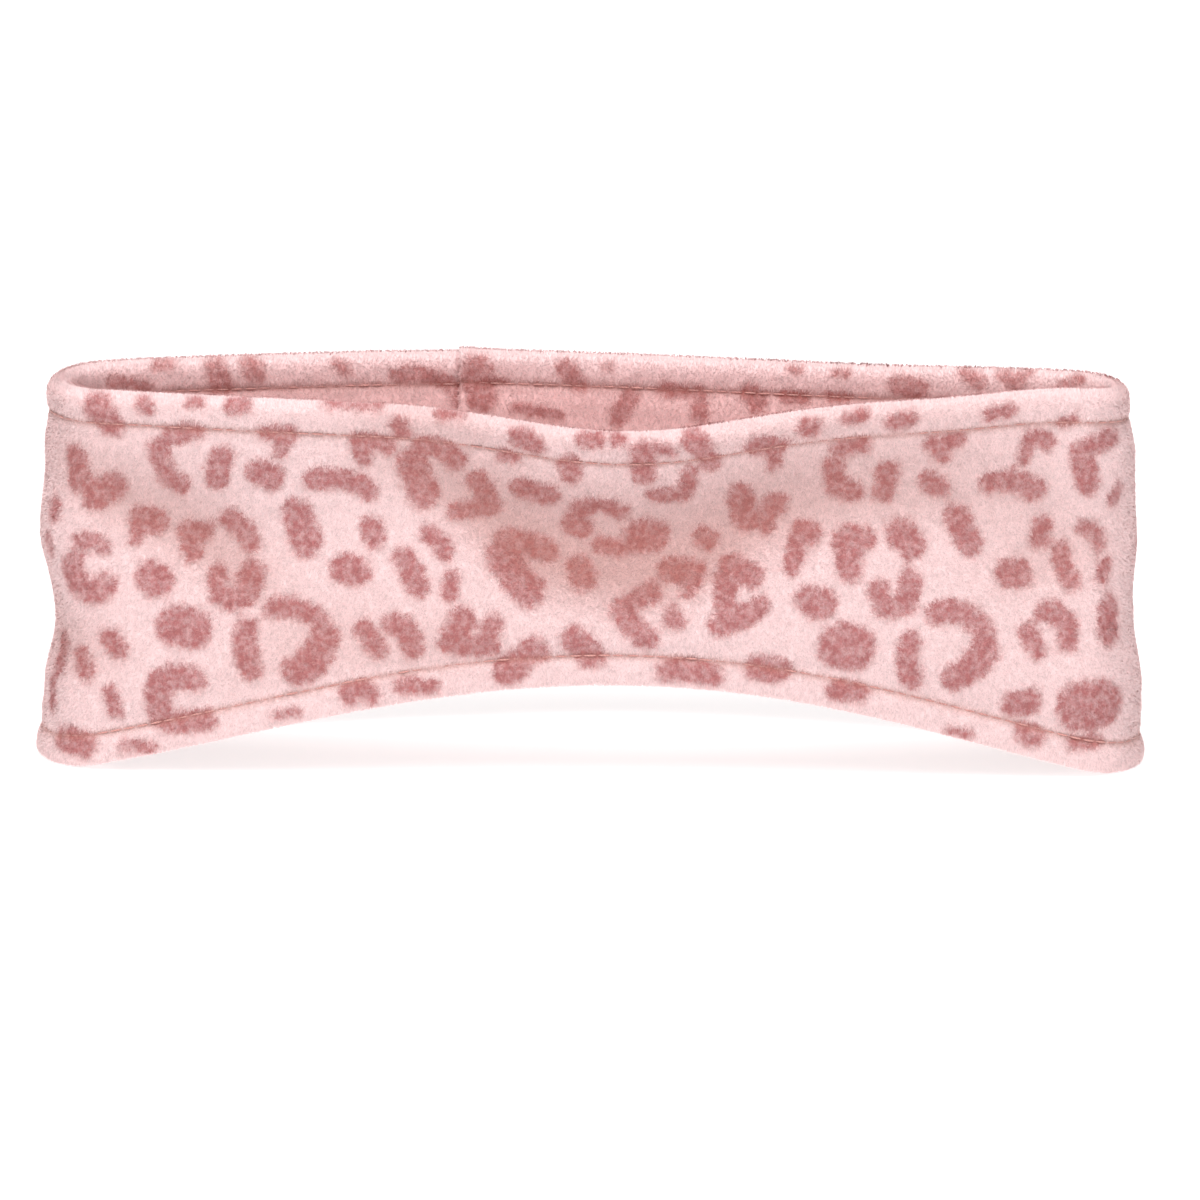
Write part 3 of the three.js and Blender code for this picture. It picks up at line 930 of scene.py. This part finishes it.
pile = {
    "length": 1.05 * mm,
    "width": 0.24 * mm,
    "raise": math.radians(32),  # from the cloth
    "raiseSpread": math.radians(18),
    "shortest": 0.65,  # shares of the length
    "longest": 1.25,
    "spread": 1.5,  # how far the fibres stray from the nap
    "nap": (0.0, 0.0, -1.0),  # stroked down
    "napAtEdge": 3.0,
    "napReach": 2.5 * mm,
    "flatAtEdge": 0.4,  # share by which the fibres on the crest lie flatter
    "flatReach": 2 * mm,
    "shortAtStitch": 0.4,  # share by which the stitching holds the fibres down
    "shortReach": 0.7 * mm,
    "longAtEdge": 0.4,  # and by which it is left longer over the seam on the crest
    "longReach": 1.4 * mm,
    "softness": 0.55,  # share of the cloth's own direction in the shading of its fibres
    "shown": 150000,  # fibres in a piece
    "unseen": 100000,  # and in the piece inside the front
    "lowest": 0.1 * mm,  # fibres under the lobes are bent this far above what they stand on
}


def newTree(name, inputs, output):
    tree = bpy.data.node_groups.new(name, "GeometryNodeTree")
    for key, kind in inputs.items():
        tree.interface.new_socket(name=key, in_out="INPUT", socket_type="NodeSocket" + kind)
    tree.interface.new_socket(name=output, in_out="OUTPUT", socket_type="NodeSocketGeometry")
    return tree, addNode(tree, "NodeGroupInput").outputs


def fieldOf(tree, name, kind):
    settings = {"data_type": kind, "Name": name}
    return addNode(tree, "GeometryNodeInputNamedAttribute", settings).outputs["Attribute"]


def keepField(tree, geometry, name, kind, value, domain="POINT"):
    settings = {"data_type": kind, "domain": domain, "Name": name}
    links = {"Geometry": geometry, "Value": value}
    return addNode(tree, "GeometryNodeStoreNamedAttribute", settings, links).outputs[0]


def pileTree():
    # fibres of the brushed pile: flat tapered blades scattered over a ground and laid along the nap
    inputs = {
        "Ground": "Geometry",
        "Density": "Float",
        "Fibre Length": "Float",
        "Fibre Width": "Float",
        "Raise": "Float",
        "Raise Spread": "Float",
        "Spread": "Float",
        "Seed": "Int",
        "Material": "Material",
    }
    tree, given = newTree("brushed_pile", inputs, "Pile")
    seed = {"Seed": given["Seed"]}
    points = addNode(
        tree,
        "GeometryNodeDistributePointsOnFaces",
        {},
        {"Mesh": given["Ground"], "Density": given["Density"], **seed},
    ).outputs
    outward = keepField(tree, points["Points"], "outward", "FLOAT_VECTOR", points["Normal"])
    # one blade: a triangle with the middle of its root at the origin and its tip along X
    third = addMath(tree, "DIVIDE", given["Fibre Length"], 3.0)
    stretch = addMath(tree, "DIVIDE", given["Fibre Length"], 1.5)
    narrow = addMath(tree, "DIVIDE", given["Fibre Width"], math.sqrt(3))
    settings = {"fill_type": "NGON", "Vertices": 3, "Radius": 1.0}
    blade = addNode(tree, "GeometryNodeMeshCircle", settings).outputs["Mesh"]
    shift = addNode(tree, "ShaderNodeCombineXYZ", {}, {"X": third}).outputs[0]
    size = addNode(tree, "ShaderNodeCombineXYZ", {"Z": 1.0}, {"X": stretch, "Y": narrow}).outputs[0]
    links = {"Geometry": blade, "Translation": shift, "Scale": size}
    shaped = addNode(tree, "GeometryNodeTransform", {}, links).outputs[0]
    position = addNode(tree, "GeometryNodeInputPosition").outputs[0]
    parts = addNode(tree, "ShaderNodeSeparateXYZ", {}, {0: position}).outputs
    tip = addMath(tree, "DIVIDE", parts["X"], given["Fibre Length"])
    tipped = keepField(tree, shaped, "tip", "FLOAT", tip)
    # the way it lies: along the nap and astray from it
    settings = {"data_type": "FLOAT_VECTOR", 0: (-1, -1, -1), 1: (1, 1, 1)}
    stray = addNode(tree, "FunctionNodeRandomValue", settings, seed).outputs[0]
    links = {0: stray, "Scale": given["Spread"]}
    spread = addNode(tree, "ShaderNodeVectorMath", {"operation": "SCALE"}, links).outputs[0]
    links = {0: spread, 1: fieldOf(tree, "nap", "FLOAT_VECTOR")}
    heading = addNode(tree, "ShaderNodeVectorMath", {"operation": "ADD"}, links).outputs[0]
    laid = addNode(
        tree,
        "FunctionNodeAlignRotationToVector",
        {"axis": "X", "pivot_axis": "Z"},
        {"Rotation": points["Rotation"], "Vector": heading},
    ).outputs[0]
    # how far it is raised from the cloth, a turn back about its own width
    lowest = addMath(tree, "SUBTRACT", given["Raise Spread"], given["Raise"])
    highest = addMath(tree, "ADD", given["Raise"], given["Raise Spread"])
    down = addMath(tree, "MULTIPLY", highest, -1.0)
    links = {2: down, 3: lowest, **seed}
    raising = addNode(tree, "FunctionNodeRandomValue", {"data_type": "FLOAT"}, links).outputs[1]
    angle = addMath(tree, "MULTIPLY", raising, fieldOf(tree, "stand", "FLOAT"))
    tilt = addNode(tree, "FunctionNodeAxisAngleToRotation", {"Axis": (0, 1, 0)}, {"Angle": angle})
    raised = addNode(
        tree,
        "FunctionNodeRotateRotation",
        {"rotation_space": "LOCAL"},
        {"Rotation": laid, "Rotate By": tilt.outputs[0]},
    ).outputs[0]
    settings = {"data_type": "FLOAT", 2: pile["shortest"], 3: pile["longest"]}
    lengths = addNode(tree, "FunctionNodeRandomValue", settings, seed).outputs[1]
    grown = addMath(tree, "MULTIPLY", lengths, fieldOf(tree, "grow", "FLOAT"))
    scale = addNode(tree, "ShaderNodeCombineXYZ", {"Y": 1.0, "Z": 1.0}, {"X": grown}).outputs[0]
    links = {"Points": outward, "Instance": tipped, "Rotation": raised, "Scale": scale}
    fibres = addNode(tree, "GeometryNodeInstanceOnPoints", {}, links).outputs[0]
    settings = {"data_type": "FLOAT", 2: 0.0, 3: 1.0}
    tint = addNode(tree, "FunctionNodeRandomValue", settings, seed).outputs[1]
    tinted = keepField(tree, fibres, "tint", "FLOAT", tint, "INSTANCE")
    finishTree(tree, tinted, given["Material"], "Pile")
    return tree


def finishTree(tree, instances, material, outputName):
    real = addNode(tree, "GeometryNodeRealizeInstances", {}, {"Geometry": instances}).outputs[0]
    smooth = addNode(tree, "GeometryNodeSetShadeSmooth", {}, {"Geometry": real}).outputs[0]
    links = {"Geometry": smooth, "Material": material}
    finished = addNode(tree, "GeometryNodeSetMaterial", {}, links).outputs[0]
    addNode(tree, "NodeGroupOutput", {}, {outputName: finished})


def growOn(ground, tree, values, name):
    # the tree's result as a plain mesh of its own, in place of what it grew on
    modifier = ground.modifiers.new(name, "NODES")
    modifier.node_group = tree
    for item in tree.interface.items_tree:
        if item.item_type == "SOCKET" and item.in_out == "INPUT" and item.name in values:
            modifier[item.identifier] = values[item.name]
    bpy.context.view_layer.update()
    evaluated = ground.evaluated_get(bpy.context.evaluated_depsgraph_get())
    mesh = bpy.data.meshes.new_from_object(evaluated)
    ground.modifiers.remove(modifier)
    grown = bpy.data.objects.new(name, mesh)
    bpy.context.scene.collection.objects.link(grown)
    bpy.data.objects.remove(ground)
    mesh.name = name
    return grown


def softenPile(mesh):
    # light meets the pile as a soft whole, so its fibres partly take the direction of the cloth
    outward = np.zeros(len(mesh.vertices) * 3, np.float32)
    mesh.attributes["outward"].data.foreach_get("vector", outward)
    own = np.zeros(len(mesh.vertices) * 3, np.float32)
    mesh.vertex_normals.foreach_get("vector", own)
    outward = outward.reshape(-1, 3)
    own = own.reshape(-1, 3)
    own = own * np.sign(np.sum(own * outward, axis=1, keepdims=True))
    mixed = outward * pile["softness"] + own * (1 - pile["softness"])
    mixed /= np.linalg.norm(mixed, axis=1, keepdims=True)
    mesh.shade_smooth()
    mesh.normals_split_custom_set_from_vertices(mixed.tolist())
    mesh.attributes.remove(mesh.attributes["outward"])


def bendUnderLobes(mesh):
    places = np.zeros(len(mesh.vertices) * 3, np.float32)
    mesh.vertices.foreach_get("co", places)
    places = places.reshape(-1, 3)
    low = places[:, 2] < pile["lowest"]
    places[low, 2] = pile["lowest"]
    mesh.vertices.foreach_set("co", places.ravel())
    mesh.update()


pileAreas = {
    "front_left": lambda x, y: y < 0 and x < 0,
    "front_right": lambda x, y: y < 0 and x >= 0,
    "front": lambda x, y: y < 0,
    "back": lambda x, y: y >= 0,
}


def growPile(layer, area, seed, most):
    # the pile of the columns of a layer's face whose middle points lie in the area
    name = f"{layer['name']}_pile_{area}"
    points, _, _, fromStitch = layer["face"]
    rows = points.shape[1]
    columns = [i for i in range(points.shape[0]) if pileAreas[area](*points[i, rows // 2, :2])]
    split = next((n for n in range(1, len(columns)) if columns[n] != columns[n - 1] + 1), 0)
    columns = columns[split:] + columns[:split]
    columns = columns + [(columns[-1] + 1) % points.shape[0]]
    grow = 1 - pile["shortAtStitch"] * bell(fromStitch, pile["shortReach"])
    grow = grow + pile["longAtEdge"] * bell(edgeGap(points), pile["longReach"])
    attributes = {key: mark[columns] for key, mark in layer["marks"].items()}
    attributes["grow"] = grow[columns]
    attributes["nap"] = napOn(points)[columns]
    attributes["stand"] = (1 - pile["flatAtEdge"] * bell(edgeGap(points), pile["flatReach"]))[columns]
    faces = gridFaces(len(columns), rows, False, False, layer["side"])
    ground = makeObject(name + "_ground", points[columns], faces, attributes)
    surfaceArea = sum(polygon.area for polygon in ground.data.polygons)
    values = {
        "Density": most / surfaceArea,
        "Fibre Length": pile["length"],
        "Fibre Width": pile["width"],
        "Raise": pile["raise"],
        "Raise Spread": pile["raiseSpread"],
        "Spread": pile["spread"],
        "Seed": seed,
        "Material": pileOf[layer["side"]],
    }
    grown = growOn(ground, brushedPile, values, name)
    bendUnderLobes(grown.data)
    softenPile(grown.data)
    print(name, "triangles", len(grown.data.polygons))
    return grown


brushedPile = pileTree()
outer = {"name": "outer", "face": outerFace, "marks": outerMarks, "side": 1}
lining = {"name": "lining", "face": liningFace, "marks": liningMarks, "side": -1}
outerPile = [
    growPile(outer, "front_left", 11, pile["shown"]),
    growPile(outer, "front_right", 15, pile["shown"]),
    growPile(outer, "back", 12, pile["shown"]),
]
liningPile = [
    growPile(lining, "front", 13, pile["unseen"]),
    growPile(lining, "back", 14, pile["shown"]),
]

stitching = {
    "length": 2.7 * mm,
    "gap": 0.4 * mm,
    "thread": 0.46 * mm,
    "proud": 0.1 * mm,  # above the bottom of its groove
    "colour": "#d2978f",
    "twistDark": 0.75,  # the dark of the twist is this share as bright
    "twistScale": 900.0,
    "roughness": 0.6,
    "sheen": 0.2,
    "lineSteps": 900,
}


def spunThread():
    # spun polyester sewing thread: a dull sheen on a fine twist
    values = {"Roughness": stitching["roughness"], "Sheen Weight": stitching["sheen"]}
    material, tree, shader = newMaterial("spun_thread", values)
    places = addNode(tree, "ShaderNodeTexCoord").outputs["Object"]
    settings = {
        "wave_type": "BANDS",
        "bands_direction": "DIAGONAL",
        "Scale": stitching["twistScale"],
        "Distortion": 1.0,
    }
    twist = addNode(tree, "ShaderNodeTexWave", settings, {"Vector": places}).outputs["Fac"]
    bright = linearColour(stitching["colour"])
    dark = [part * stitching["twistDark"] for part in bright[:3]] + [1]
    colour = addMix(tree, {6: dark, 7: bright}, {0: twist})
    tree.links.new(colour, shader.inputs["Base Color"])
    return material


def stitchTree():
    # stitches along a seam line: short round threads end to end, with a needle hole between them
    inputs = {
        "Line": "Geometry",
        "Pitch": "Float",
        "Stitch Length": "Float",
        "Thread": "Float",
        "Material": "Material",
    }
    tree, given = newTree("topstitching", inputs, "Stitches")
    line = addNode(tree, "GeometryNodeMeshToCurve", {}, {"Mesh": given["Line"]}).outputs[0]
    links = {"Curve": line, "Length": given["Pitch"]}
    points = addNode(tree, "GeometryNodeCurveToPoints", {"mode": "LENGTH"}, links).outputs
    settings = {"Segments": 6, "Rings": 5, "Radius": 0.5}
    bead = addNode(tree, "GeometryNodeMeshUVSphere", settings).outputs["Mesh"]
    links = {"X": given["Thread"], "Y": given["Thread"], "Z": given["Stitch Length"]}
    size = addNode(tree, "ShaderNodeCombineXYZ", {}, links).outputs[0]
    links = {"Vector": points["Tangent"]}
    turned = addNode(tree, "FunctionNodeAlignRotationToVector", {"axis": "Z"}, links).outputs[0]
    links = {"Points": points["Points"], "Instance": bead, "Rotation": turned, "Scale": size}
    stitches = addNode(tree, "GeometryNodeInstanceOnPoints", {}, links).outputs[0]
    finishTree(tree, stitches, given["Material"], "Stitches")
    return tree


def sewLine(layerName, edge):
    # one row of topstitching, laid in the bottom of its groove
    name = f"{layerName}_{edge}_stitches"
    thick = cloth[layerName + "Thick"]
    side = 1 if layerName == "outer" else -1
    steps = stitching["lineSteps"]
    along = loopLength * np.arange(steps) / steps
    margin = cloth["stitchMargin"]
    up = rimAt(along) - margin if edge == "rim" else hemAt(along) + margin
    out = cloth["stitchPinch"] - surface["groove"] + stitching["proud"] + 0 * along
    points = placeCloth(along, up, out, thick, side)
    mesh = bpy.data.meshes.new(name + "_line")
    mesh.from_pydata(points.tolist(), [(i, (i + 1) % steps) for i in range(steps)], [])
    ground = bpy.data.objects.new(name + "_line", mesh)
    bpy.context.scene.collection.objects.link(ground)
    values = {
        "Pitch": stitching["length"] + stitching["gap"],
        "Stitch Length": stitching["length"],
        "Thread": stitching["thread"],
        "Material": thread,
    }
    return growOn(ground, topstitching, values, name)


thread = spunThread()
topstitching = stitchTree()
stitchRows = [sewLine(layerName, edge) for layerName in ("outer", "lining") for edge in ("rim", "hem")]
print("stitches sewn", sum(len(row.data.polygons) for row in stitchRows))

pieces = [outerLayer, liningLayer, *outerPile, *liningPile, *stitchRows]
for piece in pieces:
    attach(piece, "root")
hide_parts("outer_layer")
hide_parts("lining_layer")


print("pieces placed")

photo = {
    "width": 1200,  # pixels
    "pixelsPerMetre": 4627,  # at the object
    "centre": (591.2, 563.9),  # pixel of the aim point
    "distance": 1.6,
    "pitch": math.radians(13),
    "roll": math.radians(0.45),
    "aim": (0, 0, 42.5 * mm),
    "sensor": 36,
}

studio = {
    "white": (1, 1, 1, 1),
    "world": 0.42,
    "table": (0.6, 0.6, 0.6, 1),
    "tableRoughness": 0.9,
    "tableLight": 0.7,
    "tableReach": 4,
}


def setCamera():
    camera = bpy.data.cameras.new("camera")
    holder = bpy.data.objects.new("camera", camera)
    bpy.context.scene.collection.objects.link(holder)
    camera.sensor_width = photo["sensor"]
    camera.lens = photo["sensor"] * photo["distance"] * photo["pixelsPerMetre"] / photo["width"]
    camera.shift_x = 0.5 - photo["centre"][0] / photo["width"]
    camera.shift_y = photo["centre"][1] / photo["width"] - 0.5
    back = Vector((0, -math.cos(photo["pitch"]), math.sin(photo["pitch"])))
    holder.location = Vector(photo["aim"]) + back * photo["distance"]
    facing = back.to_track_quat("Z", "Y").to_matrix().to_4x4()
    facing = facing @ Matrix.Rotation(photo["roll"], 4, "Z")
    holder.rotation_euler = facing.to_euler()
    camera.clip_start = 0.01
    bpy.context.scene.camera = holder


def addSoftLight(name, direction, strength, softness, colour):
    light = bpy.data.lights.new(name, "SUN")
    light.energy = strength
    light.angle = math.radians(softness)
    light.color = colour
    holder = bpy.data.objects.new(name, light)
    bpy.context.scene.collection.objects.link(holder)
    holder.rotation_euler = Vector(direction).to_track_quat("Z", "Y").to_euler()


def setStudio():
    world = bpy.data.worlds.new("studio")
    world.use_nodes = True
    bpy.context.scene.world = world
    background = world.node_tree.nodes["Background"].inputs
    background["Color"].default_value = studio["white"]
    background["Strength"].default_value = studio["world"]
    addSoftLight("overhead", (-0.1, -0.5, 0.86), 2.95, 40, (1.0, 0.985, 0.98))
    addSoftLight("front_fill", (0.1, -1.0, 0.3), 0.62, 80, (1.0, 0.98, 0.98))
    # the light table is white, and lit softly from below
    values = {
        "Base Color": studio["table"],
        "Roughness": studio["tableRoughness"],
        "Emission Color": studio["white"],
        "Emission Strength": studio["tableLight"],
    }
    lightTable = newMaterial("opal_acrylic_light_table", values)[0]
    corners = np.array([(-1, -1, 0), (1, -1, 0), (1, 1, 0), (-1, 1, 0)]) * studio["tableReach"]
    floor = makeObject("floor", corners, [(0, 1, 2, 3)], {})
    floor.data.materials.append(lightTable)
    bpy.context.scene.view_settings.view_transform = "Standard"


setCamera()
setStudio()
print("camera and light set")
